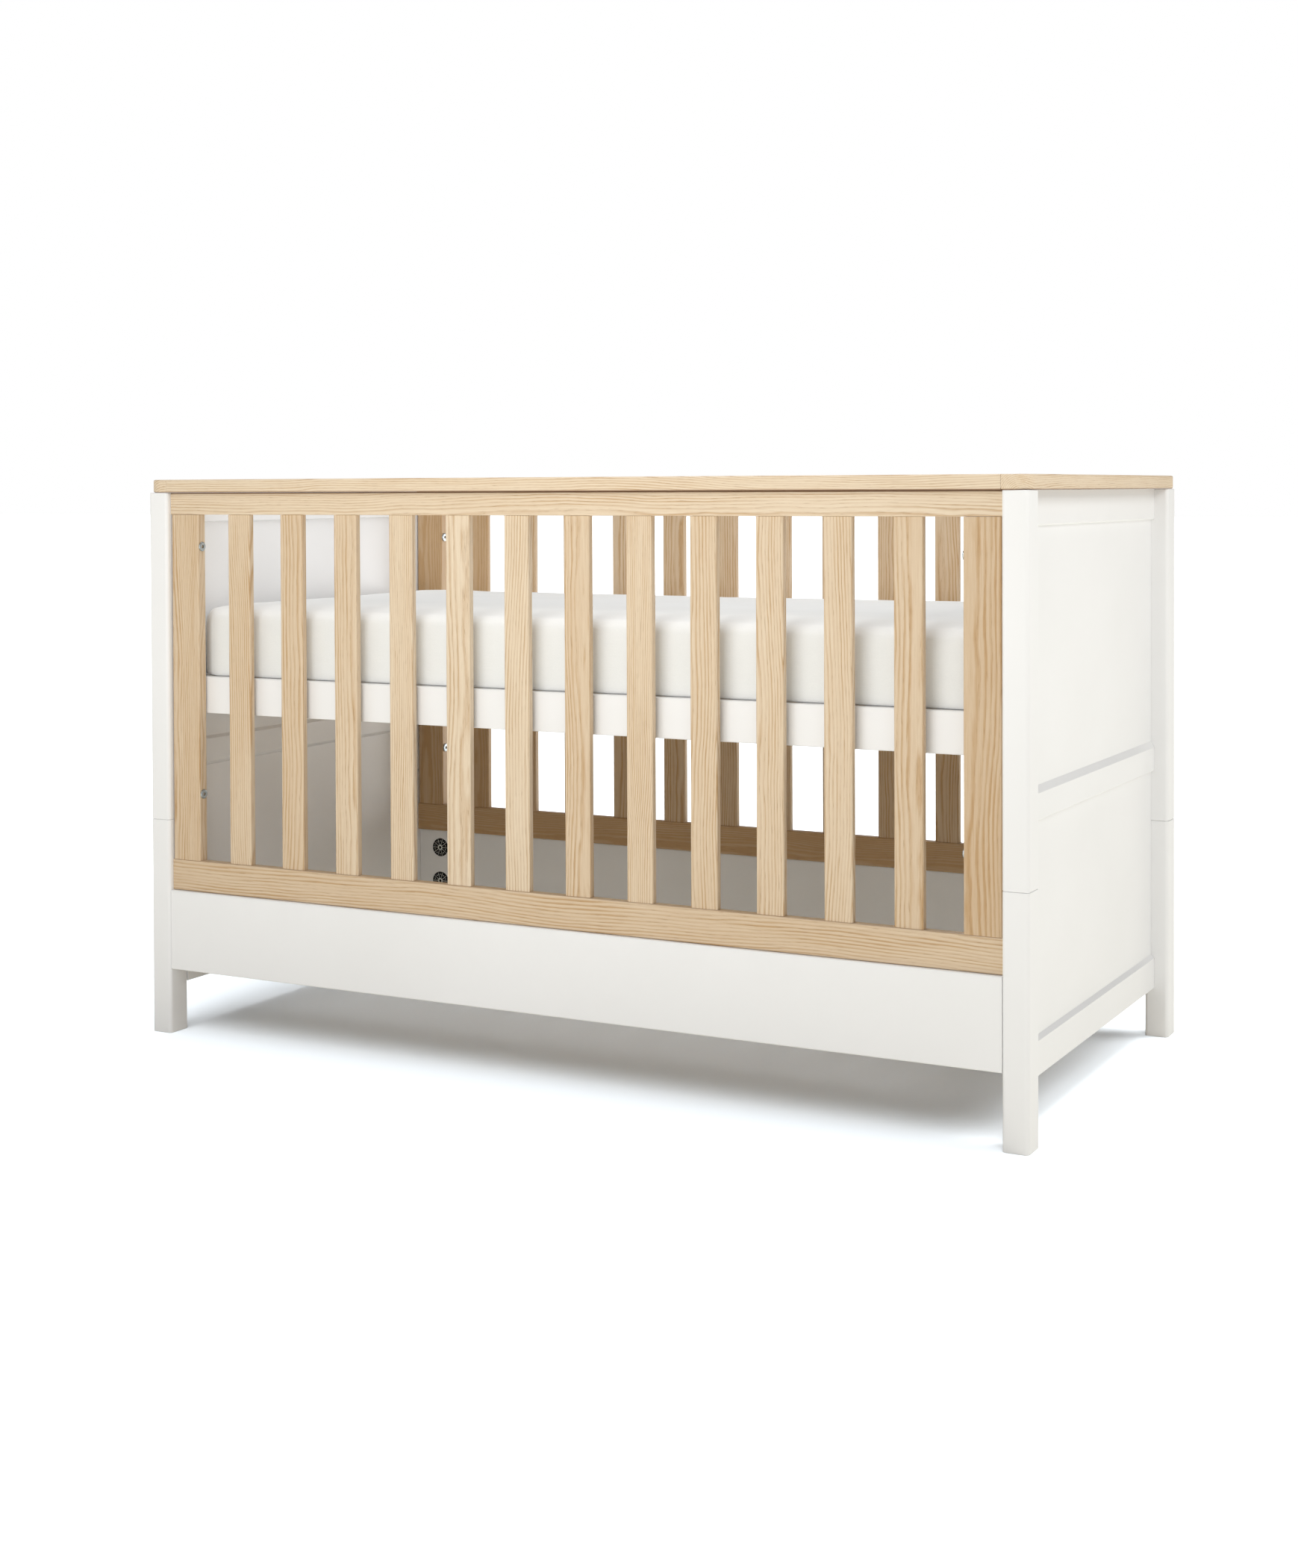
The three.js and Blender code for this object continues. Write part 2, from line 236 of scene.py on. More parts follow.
@dataclass(frozen=True)
class OakGrain(Effect):
    """Growth rings, fibre and pores of a board whose grain runs along the vector's Z.

    A ring is a cylinder round the pith, which runs beside the board and wanders slowly. Where
    the board's face cuts the rings flat they draw arches, and where it cuts them steeply, lines.
    """

    name: str = "Oak Grain"
    takes: tuple = (
        ("Vector", "NodeSocketVector", None),
        ("Seed", "NodeSocketFloat", 0.0),
        ("Pith Across", "NodeSocketFloat", 0.03),
        ("Pith Depth", "NodeSocketFloat", 0.04),
        ("Ring Width", "NodeSocketFloat", 0.004),
    )
    gives: tuple = ("Line", "Fibre", "Pores", "Cloud")
    wander: float = 40 * MM
    waves: tuple[float, float] = (5 * MM, 2.2 * MM)
    early_wood: tuple[float, float] = (0.04, 0.38)
    late_wood: tuple[float, float] = (0.62, 0.99)
    patches: tuple[float, float] = (0.3, 0.72)
    pore_edges: tuple[float, float] = (0.56, 0.68)

    def fill(self, graph: Graph, source: bpy.types.Node) -> dict[str, bpy.types.NodeSocket]:
        """Adds the group's nodes.

        Args:
            graph: the group's graph.
            source: its input node.

        Returns:
            Line, the dark ring lines; Fibre, fine streaks; Pores; and Cloud, slow tone.
        """
        shift = graph.vector("MULTIPLY", source.outputs["Seed"], (7.3, 3.1, 11.7))
        own = graph.vector("ADD", source.outputs["Vector"], shift)

        def streaks(across: float, along: float, detail: float) -> bpy.types.NodeSocket:
            """Returns noise with that many features per metre across and along the grain."""
            return graph.noise(graph.vector("MULTIPLY", own, (across, across, along)), detail)

        def centred(value: bpy.types.NodeSocket, size: float) -> bpy.types.NodeSocket:
            """Returns noise turned into a length either side of 0."""
            return graph.math("MULTIPLY", graph.math("SUBTRACT", value, 0.5), size)

        split = graph.add("ShaderNodeSeparateXYZ", {0: source.outputs["Vector"]}).outputs
        wander = centred(streaks(1.0, 2.2, 1.0), self.wander)
        across = graph.math("SUBTRACT", split["X"], source.outputs["Pith Across"])
        across = graph.math("ADD", across, wander)
        depth = graph.math("SUBTRACT", split["Y"], source.outputs["Pith Depth"])
        squares = graph.math("MULTIPLY", across, across)
        radius = graph.math("SQRT", graph.math("MULTIPLY_ADD", depth, depth, squares))
        waves = graph.math("ADD", centred(streaks(16, 7, 1.0), self.waves[0]),
                           centred(streaks(150, 22, 2.0), self.waves[1]))
        rings = graph.math("DIVIDE", graph.math("ADD", radius, waves), source.outputs["Ring Width"])
        turn = graph.math("FRACT", rings)

        early = graph.math("SUBTRACT", 1.0, graph.ease(turn, *self.early_wood))
        late = graph.math("MULTIPLY", graph.ease(turn, *self.late_wood), 0.8)
        line = graph.math("MAXIMUM", early, late)
        strength = graph.ease(streaks(95, 5, 2.0), *self.patches)
        line = graph.math("MULTIPLY", line, graph.math("MULTIPLY_ADD", strength, 0.75, 0.25))

        fine = graph.ease(streaks(1700, 55, 1.0), *self.pore_edges)
        pores = graph.math("MULTIPLY", fine, graph.math("MULTIPLY_ADD", early, 0.8, 0.2))
        return {"Line": line, "Fibre": streaks(650, 14, 3.0), "Pores": pores,
                "Cloud": streaks(9, 1.6, 2.0)}


@dataclass(frozen=True)
class SurfaceDrift(Effect):
    """Slow clouding and fine mottle that keep a coated or moulded surface from looking flat."""

    name: str = "Surface Drift"
    takes: tuple = (
        ("Vector", "NodeSocketVector", None),
        ("Cloud Size", "NodeSocketFloat", 0.25),
        ("Mottle Size", "NodeSocketFloat", 0.004),
    )
    gives: tuple = ("Cloud", "Mottle")

    def fill(self, graph: Graph, source: bpy.types.Node) -> dict[str, bpy.types.NodeSocket]:
        """Adds the group's nodes.

        Args:
            graph: the group's graph.
            source: its input node.

        Returns:
            Cloud and Mottle, noise at the two sizes.
        """
        return {
            label: graph.noise(graph.vector("DIVIDE", source.outputs["Vector"],
                                            source.outputs[f"{label} Size"]), detail)
            for label, detail in (("Cloud", 3.0), ("Mottle", 2.0))
        }


GRAIN = OakGrain()
DRIFT = SurfaceDrift()


# ---- finishes


def new_material(name: str) -> tuple[bpy.types.Material, Graph, bpy.types.Node]:
    """Makes a material that holds a Principled shader and its output.

    Args:
        name: the material's name.

    Returns:
        The material, its graph and the shader node.
    """
    material = bpy.data.materials.new(name)
    material.use_nodes = True
    material.node_tree.nodes.clear()
    graph = Graph(material.node_tree)
    shader = graph.add("ShaderNodeBsdfPrincipled", {})
    graph.add("ShaderNodeOutputMaterial", {"Surface": shader.outputs["BSDF"]})
    return material, graph, shader


def wire(graph: Graph, shader: bpy.types.Node, **feeds: bpy.types.NodeSocket) -> None:
    """Links sockets to a shader's inputs, each named with _ for a space."""
    for key, socket in feeds.items():
        graph.tree.links.new(socket, shader.inputs[key.replace("_", " ")])


class Grain(Enum):
    """Way a board's grain runs, as the turn that brings the board's own Z along it."""

    ALONG_X = (0.0, math.pi / 2, 0.0)
    ALONG_Y = (-math.pi / 2, 0.0, 0.0)
    ALONG_Z = (0.0, 0.0, 0.0)


@dataclass(frozen=True)
class PaleOak:
    """Pale oak under a matt lacquer. Each board is cut from its own place in the tree."""

    light: Colour = srgb(231, 214, 189)
    dark: Colour = srgb(190, 154, 110)
    pore: Colour = srgb(158, 122, 84)
    # painted shade: the dark brown of the shadow line under the caps' overhang
    cap_shade: Colour = srgb(120, 84, 58)
    roughness: float = 0.5
    ring_width: float = 3.3 * MM
    line_share: float = 0.66
    fibre_share: float = 0.5
    cloud_share: float = 0.35
    pore_share: float = 0.55
    paler: float = 0.2
    own_tone: tuple[float, float] = (-0.06, 0.14)
    cap_shade_share: float = 0.85
    cap_shade_edges: tuple[float, float] = (0.6 * MM, 2.8 * MM)
    relief_depth: float = 0.12 * MM

    def painted_cap_shade(self, graph: Graph, where: bpy.types.NodeSocket) -> bpy.types.NodeSocket:
        """Works out the painted shade along the joint under the caps, by a point's height off the
        joint.

        Args:
            graph: the material's graph.
            where: the point.

        Returns:
            The share of the painted shade, from 0 up to its full strength.
        """
        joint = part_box("front_top_rail")[1].z
        height = graph.add("ShaderNodeSeparateXYZ", {0: where}).outputs["Z"]
        off = graph.math("ABSOLUTE", graph.math("SUBTRACT", height, joint))
        line = graph.math("SUBTRACT", 1.0, graph.ease(off, *self.cap_shade_edges))
        return graph.math("MULTIPLY", line, self.cap_shade_share)

    def material(self, name: str, centre: Vector, grain: Grain, deep: float) -> bpy.types.Material:
        """Makes the material of one board.

        Args:
            name: the board's name, which also picks its place in the tree.
            centre: the board's middle.
            grain: the way its grain runs.
            deep: how much darker than the other boards it is, from 0 to 1.

        Returns:
            The material.
        """
        random = seeded(name)
        material, graph, shader = new_material(f"oak_{name}")
        where = graph.add("ShaderNodeTexCoord", {}).outputs["Object"]
        feeds = {"Vector": where, "Location": tuple(centre), "Rotation": grain.value}
        own = graph.add("ShaderNodeMapping", feeds, vector_type="TEXTURE").outputs[0]
        side = random.choice([-1.0, 1.0])
        wood = GRAIN.place(
            graph, Vector=own, Seed=float(random.uniform(0, 1)),
            Pith_Across=float(side * random.uniform(8, 60) * MM),
            Pith_Depth=float(random.uniform(12, 45) * MM),
            Ring_Width=float(self.ring_width * random.uniform(0.8, 1.3)),
        ).outputs
        tone = deep + float(random.uniform(*self.own_tone))
        share = graph.math("MULTIPLY_ADD", wood["Line"], self.line_share, tone)
        share = graph.math("MULTIPLY_ADD", wood["Fibre"], self.fibre_share, share)
        share = graph.math("MULTIPLY_ADD", wood["Cloud"], self.cloud_share, share)
        share = graph.add("ShaderNodeClamp", {"Value": graph.math("SUBTRACT", share, self.paler)})
        colour = graph.mix(share.outputs[0], self.light, self.dark)
        pores = graph.math("MULTIPLY", wood["Pores"], self.pore_share)
        colour = graph.mix(pores, colour, self.pore)
        # painted shade: a dark line along the joint under the caps stands in for the shadow of their
        # overhang
        colour = graph.mix(self.painted_cap_shade(graph, where), colour, self.cap_shade)
        rough = graph.math("MULTIPLY_ADD", wood["Fibre"], 0.16, self.roughness - 0.08)
        relief = graph.math("MULTIPLY_ADD", wood["Pores"], -0.7,
                            graph.math("MULTIPLY_ADD", wood["Fibre"], 0.3, 0.7))
        wire(graph, shader, Base_Color=colour, Roughness=rough,
             Normal=graph.bump(relief, self.relief_depth))
        return material


@dataclass(frozen=True)
class WhitePaint:
    """Satin white lacquer sprayed on board, with a faint orange peel and a slow change of gloss."""

    name: str = "white_paint"
    light: Colour = srgb(245, 245, 246)
    dark: Colour = srgb(239, 239, 239)
    roughness: float = 0.36
    cloud_size: float = 0.22
    peel_size: float = 2.6 * MM
    peel_depth: float = 0.035 * MM

    def material(self) -> bpy.types.Material:
        """Makes the material, once for every painted piece.

        Returns:
            The material.
        """
        material, graph, shader = new_material(self.name)
        where = graph.add("ShaderNodeTexCoord", {}).outputs["Object"]
        drift = DRIFT.place(graph, Vector=where, Cloud_Size=self.cloud_size,
                            Mottle_Size=self.peel_size).outputs
        colour = graph.mix(drift["Cloud"], self.light, self.dark)
        rough = graph.math("MULTIPLY_ADD", drift["Cloud"], 0.12, self.roughness - 0.06)
        wire(graph, shader, Base_Color=colour, Roughness=rough,
             Normal=graph.bump(drift["Mottle"], self.peel_depth))
        return material


@dataclass(frozen=True)
class BlackPlastic:
    """Black moulded plastic with a fine spark texture; its raised parts turn light grey in patches."""

    name: str = "black_plastic"
    moulded: Colour = srgb(17, 18, 18)
    raised_grey: Colour = srgb(222, 225, 222)
    roughness: float = 0.38
    relief_name: str = "relief"
    raised_from: tuple[float, float] = (0.885, 0.95)
    grey_patches_from: tuple[float, float] = (0.1, 0.45)

    def material(self) -> bpy.types.Material:
        """Makes the material. A piece's relief attribute says how raised a point is.

        Returns:
            The material.
        """
        material, graph, shader = new_material(self.name)
        where = graph.add("ShaderNodeTexCoord", {}).outputs["Object"]
        drift = DRIFT.place(graph, Vector=where, Cloud_Size=6 * MM, Mottle_Size=0.4 * MM).outputs
        relief = graph.add("ShaderNodeAttribute", {}, attribute_name=self.relief_name)
        # raised parts turn light grey in patches that follow the noise cloud
        raised = graph.ease(relief.outputs["Fac"], *self.raised_from)
        raised_grey = graph.math("MULTIPLY", raised, graph.ease(drift["Cloud"], *self.grey_patches_from))
        colour = graph.mix(raised_grey, self.moulded, self.raised_grey)
        rough = graph.math("MULTIPLY_ADD", drift["Mottle"], 0.2, self.roughness - 0.1)
        wire(graph, shader, Base_Color=colour, Roughness=rough,
             Normal=graph.bump(drift["Mottle"], 0.03 * MM))
        return material


@dataclass(frozen=True)
class ZincPlate:
    """Bright zinc plating with a cool cast and a slight bloom."""

    name: str = "zinc_plate"
    bright: Colour = srgb(196, 203, 206)
    bloomed: Colour = srgb(150, 158, 163)
    roughness: float = 0.3

    def material(self) -> bpy.types.Material:
        """Makes the material, once for every screw.

        Returns:
            The material.
        """
        material, graph, shader = new_material(self.name)
        where = graph.add("ShaderNodeTexCoord", {}).outputs["Object"]
        drift = DRIFT.place(graph, Vector=where, Cloud_Size=5 * MM, Mottle_Size=0.5 * MM).outputs
        colour = graph.mix(drift["Cloud"], self.bright, self.bloomed)
        rough = graph.math("MULTIPLY_ADD", drift["Mottle"], 0.25, self.roughness - 0.1)
        wire(graph, shader, Base_Color=colour, Roughness=rough,
             Normal=graph.bump(drift["Mottle"], 0.01 * MM))
        shader.inputs["Metallic"].default_value = 1.0
        return material


@dataclass(frozen=True)
class Ticking:
    """White woven mattress cover: crossed threads over soft puckers in the cloth."""

    name: str = "ticking"
    light: Colour = srgb(246, 248, 248)
    dark: Colour = srgb(232, 234, 234)
    thread: float = 1.1 * MM
    roughness: float = 0.88
    weave_depth: float = 0.08 * MM
    pucker_depth: float = 1.6 * MM
    puckers_per_metre: tuple[float, float, float] = (7.0, 7.0, 55.0)
    sheen: float = 0.15
    sheen_roughness: float = 0.5

    def material(self) -> bpy.types.Material:
        """Makes the material.

        The weave's height at x, y, z is sin x sin y + sin y sin z + sin z sin x, with each
        length counted in threads, so every face of the mattress shows crossed threads.

        Returns:
            The material.
        """
        material, graph, shader = new_material(self.name)
        where = graph.add("ShaderNodeTexCoord", {}).outputs["Object"]
        count = math.pi / self.thread
        turned = graph.vector("SINE", graph.vector("MULTIPLY", where, (count, count, count)))
        axes = graph.add("ShaderNodeSeparateXYZ", {0: turned}).outputs
        weave = graph.math("MULTIPLY", axes["X"], axes["Y"])
        weave = graph.math("MULTIPLY_ADD", axes["Y"], axes["Z"], weave)
        weave = graph.math("MULTIPLY_ADD", axes["Z"], axes["X"], weave)
        weave = graph.math("MULTIPLY_ADD", weave, 0.3, 0.5)
        drift = DRIFT.place(graph, Vector=where, Cloud_Size=0.09, Mottle_Size=1.5 * MM).outputs
        pull = graph.noise(graph.vector("MULTIPLY", where, self.puckers_per_metre), 3.0)
        share = graph.math("MULTIPLY_ADD", drift["Mottle"], 0.5,
                           graph.math("MULTIPLY", drift["Cloud"], 0.5))
        colour = graph.mix(share, self.light, self.dark)
        cloth = graph.add("ShaderNodeBump", {"Height": pull, "Distance": self.pucker_depth,
                                             "Strength": 0.5})
        threads = graph.add("ShaderNodeBump", {"Height": weave, "Distance": self.weave_depth,
                                               "Normal": cloth.outputs["Normal"]})
        wire(graph, shader, Base_Color=colour, Normal=threads.outputs["Normal"])
        shader.inputs["Roughness"].default_value = self.roughness
        shader.inputs["Sheen Weight"].default_value = self.sheen
        shader.inputs["Sheen Roughness"].default_value = self.sheen_roughness
        return material


# ---- the CAD nodes


@dataclass(frozen=True)
class SlattedBase:
    """Finish of the mattress base: white paint on its rails, bare pine on the cross slats."""

    node: str = "mattress_base"
    paint: WhitePaint = WhitePaint()
    pine: Colour = srgb(226, 194, 146)
    ring: Colour = srgb(192, 146, 94)
    rail: float = 20 * MM
    border: float = 0.5 * MM
    ring_width: float = 4 * MM
    ring_share: float = 0.6
    fibre_share: float = 0.3

    def material(self) -> bpy.types.Material:
        """Makes the material.

        A point is pine where it lies inside the rails: the mask is the product of a step on |x|
        and a step on |y|, each at the rails' inner faces.

        Returns:
            The material.
        """
        low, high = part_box(self.node)
        material, graph, shader = new_material(self.node)
        where = graph.add("ShaderNodeTexCoord", {}).outputs["Object"]
        drift = DRIFT.place(graph, Vector=where, Cloud_Size=self.paint.cloud_size,
                            Mottle_Size=self.paint.peel_size).outputs
        turned = {"Vector": where, "Rotation": Grain.ALONG_Y.value}
        along = graph.add("ShaderNodeMapping", turned, vector_type="TEXTURE").outputs[0]
        wood = GRAIN.place(graph, Vector=along, Seed=0.4, Pith_Across=0.2, Pith_Depth=0.05,
                           Ring_Width=self.ring_width).outputs
        far = graph.vector("ABSOLUTE", where)
        axes = graph.add("ShaderNodeSeparateXYZ", {0: far}).outputs
        masks = [
            graph.math("SUBTRACT", 1.0, graph.ease(axes[axis], edge - self.rail - 2 * self.border,
                                                   edge - self.rail - self.border))
            for axis, edge in (("X", high.x), ("Y", high.y))
        ]
        bare = graph.math("MULTIPLY", *masks)
        painted = graph.mix(drift["Cloud"], self.paint.light, self.paint.dark)
        share = graph.math("MULTIPLY_ADD", wood["Line"], self.ring_share,
                           graph.math("MULTIPLY", wood["Fibre"], self.fibre_share))
        colour = graph.mix(bare, painted, graph.mix(share, self.pine, self.ring))
        rough = graph.math("MULTIPLY_ADD", bare, 0.25, self.paint.roughness)
        wire(graph, shader, Base_Color=colour, Roughness=rough,
             Normal=graph.bump(drift["Mottle"], self.paint.peel_depth))
        return material


@dataclass(frozen=True)
class JoineryDressing:
    """Puts the oak and the paint on the CAD nodes that stay.

    Deeper gives a darker share to each word of a board's name, and the shares of a board add up.
    """

    oak: PaleOak = PaleOak()
    paint: WhitePaint = WhitePaint()
    base: SlattedBase = SlattedBase()
    upright: tuple[str, ...] = ("stile", "slat")
    deeper: tuple[tuple[str, float], ...] = (
        ("stile", 0.22), ("back", 0.26), ("back_bottom", 0.25), ("cap", -0.2),
        ("top_rail", -0.05), ("slat_12", 0.2), ("slat_01", 0.08), ("slat_02", 0.08),
        ("slat_10", 0.08), ("slat_05", -0.08),
    )

    def grain_of(self, name: str) -> Grain:
        """Returns the way the grain runs in the oak board of a name."""
        if any(word in name for word in self.upright):
            return Grain.ALONG_Z
        return Grain.ALONG_Y if name.endswith("end_cap") else Grain.ALONG_X

    def is_oak(self, name: str) -> bool:
        """Says whether a node is an oak board."""
        return any(word in name for word in (*self.upright, "rail", "cap"))

    def dress(self) -> None:
        """Gives each oak board its own material, and every painted piece the same one."""
        painted = self.paint.material()
        for name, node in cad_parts.items():
            if node.hide_render:
                continue
            if self.is_oak(name):
                low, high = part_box(name)
                deep = sum(share for word, share in self.deeper if word in name)
                material = self.oak.material(name, (low + high) / 2, self.grain_of(name), deep)
            else:
                material = self.base.material() if name == self.base.node else painted
            node.data.materials.clear()
            node.data.materials.append(material)
            log.info("dressed %s in %s", name, material.name)


# ---- fittings


class Facing(Enum):
    """Way that a fitting's face looks, as the axis and its sign."""

    LEFT = (-1, 0, 0)
    RIGHT = (1, 0, 0)
    FRONT = (0, -1, 0)
    BACK = (0, 1, 0)

    def turn(self) -> np.ndarray:
        """Returns the 3x3 matrix that brings a fitting's own Z to this way and its Y to +Z."""
        face = np.array(self.value, float)
        up = np.array([0.0, 0.0, 1.0])
        return np.stack([np.cross(up, face), up, face], axis=1)


def turned_body(radii: np.ndarray, heights: np.ndarray, back: float) -> tuple[np.ndarray, list]:
    """Works out a closed round body with a modelled face.

    Point i, j lies at radius radii[i] and angle 2 pi j / sides, at height heights[i, j]. A ring
    under the last one makes the wall, and a point on the axis closes each end.

    Args:
        radii: the rings' radii, rising.
        heights: a row of heights for each ring.
        back: the height of the flat back.

    Returns:
        The points, and the faces as tuples of point numbers.
    """
    radii = np.append(radii, radii[-1])
    rows, sides = len(radii), heights.shape[1]
    heights = np.vstack([heights, np.full(sides, back)])
    angle = np.linspace(0, 2 * math.pi, sides, endpoint=False)
    rings = np.stack([np.outer(radii, np.cos(angle)), np.outer(radii, np.sin(angle)), heights], 2)
    poles = [[0, 0, heights[0].mean()], [0, 0, back]]
    points = np.concatenate([rings.reshape(-1, 3), poles])
    number = np.arange(rows * sides).reshape(rows, sides)
    beside = np.roll(number, -1, axis=1)
    quads = np.stack([number[:-1], number[1:], beside[1:], beside[:-1]], 2).reshape(-1, 4)
    centre, rear = rows * sides, rows * sides + 1
    face = np.stack([np.full(sides, centre), number[0], beside[0]], 1)
    base = np.stack([number[-1], np.full(sides, rear), beside[-1]], 1)
    return points, [*quads.tolist(), *face.tolist(), *base.tolist()]


def hexagon_reach(radii: np.ndarray, angle: np.ndarray) -> np.ndarray:
    """Works out how far points lie from the axis, square to the nearest side of a hexagon.

    It is the radius times the cosine of the angle to the middle of that side.

    Args:
        radii: the rings' radii.
        angle: the angles of the points on each ring.

    Returns:
        The distances, a row for each ring.
    """
    sixth = math.pi / 3
    swing = np.mod(angle + sixth / 2, sixth) - sixth / 2
    return np.outer(radii, np.cos(swing))


@dataclass(frozen=True)
class Fitting:
    """Round metal or plastic fitting. A subclass works out its face."""

    radius: float
    sides: int = 96
    smooth_under: float = math.radians(40)

    def face(self) -> tuple[np.ndarray, np.ndarray, float]:
        """Returns the rings' radii, their heights, and the height of the back."""
        raise NotImplementedError

    def angles(self) -> np.ndarray:
        """Returns the angle of each side."""
        return np.linspace(0, 2 * math.pi, self.sides, endpoint=False)

    def build(self, name: str, place: tuple[float, float, float], facing: Facing,
              material: bpy.types.Material) -> bpy.types.Object:
        """Makes one piece.

        Args:
            name: the piece's name.
            place: where its axis meets the face that it stands on.
            facing: the way it looks.
            material: its finish.

        Returns:
            The piece, with its place in its mesh.
        """
        radii, heights, back = self.face()
        points, faces = turned_body(radii, heights, back)
        mesh = bpy.data.meshes.new(name)
        mesh.from_pydata((points @ facing.turn().T + np.array(place)).tolist(), [], faces)
        relief = points[:, 2]
        span = relief.max() - min(heights.min(), 0.0)
        raised = np.clip(1 + (relief - relief.max()) / span, 0, 1)
        layer = mesh.attributes.new("relief", "FLOAT", "POINT")
        layer.data.foreach_set("value", raised.astype(np.float32))
        mesh.shade_smooth()
        mesh.set_sharp_from_angle(angle=self.smooth_under)
        mesh.materials.append(material)
        return add_object(name, mesh)


@dataclass(frozen=True)
class CamLock(Fitting):
    """Cam lock face: a rim, spokes from a hub ring, a round stud in each bay and a hexagon key hole."""

    radius: float = 17.2 * MM
    sides: int = 160
    depth: float = 11.7 * MM
    stand: float = 1.6 * MM
    floor: float = -1.4 * MM
    rim_width: float = 1.9 * MM
    hub_radius: float = 5.0 * MM
    spokes: int = 10
    spoke_width: float = 1.0 * MM
    stud_radius: float = 1.3 * MM
    stud_circle: float = 12.3 * MM
    key_across: float = 5.0 * MM
    key_floor: float = -5.0 * MM
    edge: float = 0.5 * MM
    draft: float = 0.25 * MM
    rim_level: float = 0.72
    spoke_level: float = 0.9
    stud_level: float = 0.92
    rings: int = 46

    def face(self) -> tuple[np.ndarray, np.ndarray, float]:
        """Works out the face as the highest of its rim, hub, spokes and studs.

        Each is a level times a mask that eases from 1 to 0 over the draft at its border. Inside
        the hexagon the face drops to the key hole's floor.

        Returns:
            The rings' radii, their heights, and the height of the back.
        """
        angle = self.angles()
        steps = [self.key_across / 2, self.hub_radius, self.radius - self.rim_width]
        borders = [step + side * self.draft for step in steps for side in (-1, 1)]
        radii = np.unique([*np.linspace(0.5 * MM, self.radius - self.edge, self.rings), *borders])
        bay = 2 * math.pi / self.spokes
        swing = np.mod(angle + bay / 2, bay) - bay / 2
        off_spoke = np.outer(radii, np.abs(np.sin(swing)))
        half_turn = np.abs(swing) - bay / 2
        across = 2 * self.stud_circle * np.outer(radii, np.cos(half_turn))
        off_stud = np.sqrt(np.maximum(radii[:, None] ** 2 + self.stud_circle**2 - across, 0))
        rise = self.stand - self.floor
        ring = radii[:, None]
        masks = [
            self.rim_level * ramp(ring, self.radius - self.rim_width - self.draft,
                                  self.radius - self.rim_width),
            1 - ramp(ring, self.hub_radius, self.hub_radius + self.draft),
            self.spoke_level * (1 - ramp(off_spoke, self.spoke_width / 2,
                                         self.spoke_width / 2 + self.draft)),
            self.stud_level * (1 - ramp(off_stud, self.stud_radius - self.draft,
                                        self.stud_radius)),
        ]
        levels = np.maximum.reduce([np.broadcast_to(mask, off_spoke.shape) for mask in masks])
        heights = self.floor + rise * levels
        reach = hexagon_reach(radii, angle)
        key = 1 - ramp(reach, self.key_across / 2 - self.draft, self.key_across / 2)
        heights = heights + key * (self.key_floor - heights)
        radii = np.append(radii, self.radius)
        heights = np.vstack([heights, heights[-1] - self.edge])
        return radii, heights, -self.depth


@dataclass(frozen=True)
class SocketScrew(Fitting):
    """Flat furniture screw head with a rounded edge and a hexagon socket."""

    radius: float = 7.6 * MM
    sides: int = 72
    head: float = 2.2 * MM
    shank: float = 9.0 * MM
    key_across: float = 5.0 * MM
    key_depth: float = 3.0 * MM
    edge: float = 1.1 * MM
    draft: float = 0.15 * MM

    def face(self) -> tuple[np.ndarray, np.ndarray, float]:
        """Works out the head: flat, then a quarter circle over its edge, with the socket sunk in it.

        Returns:
            The rings' radii, their heights, and the height of the back.
        """
        angle = self.angles()
        arc = np.linspace(0, math.pi / 2, 6)
        rim = self.radius - self.edge * (1 - np.sin(arc))
        key = self.key_across / 2
        inner = np.unique([*np.linspace(0.4 * MM, self.radius - self.edge, 14),
                           key - self.draft, key + self.draft, key * 1.16])
        radii = np.append(inner, rim[1:])
        drop = np.append(np.zeros(len(inner)), self.edge * (1 - np.cos(arc[1:])))
        heights = self.head - np.outer(drop, np.ones(self.sides))
        sunk = 1 - ramp(hexagon_reach(radii, angle), key - self.draft, key)
        return radii, heights - sunk * self.key_depth, -self.shank


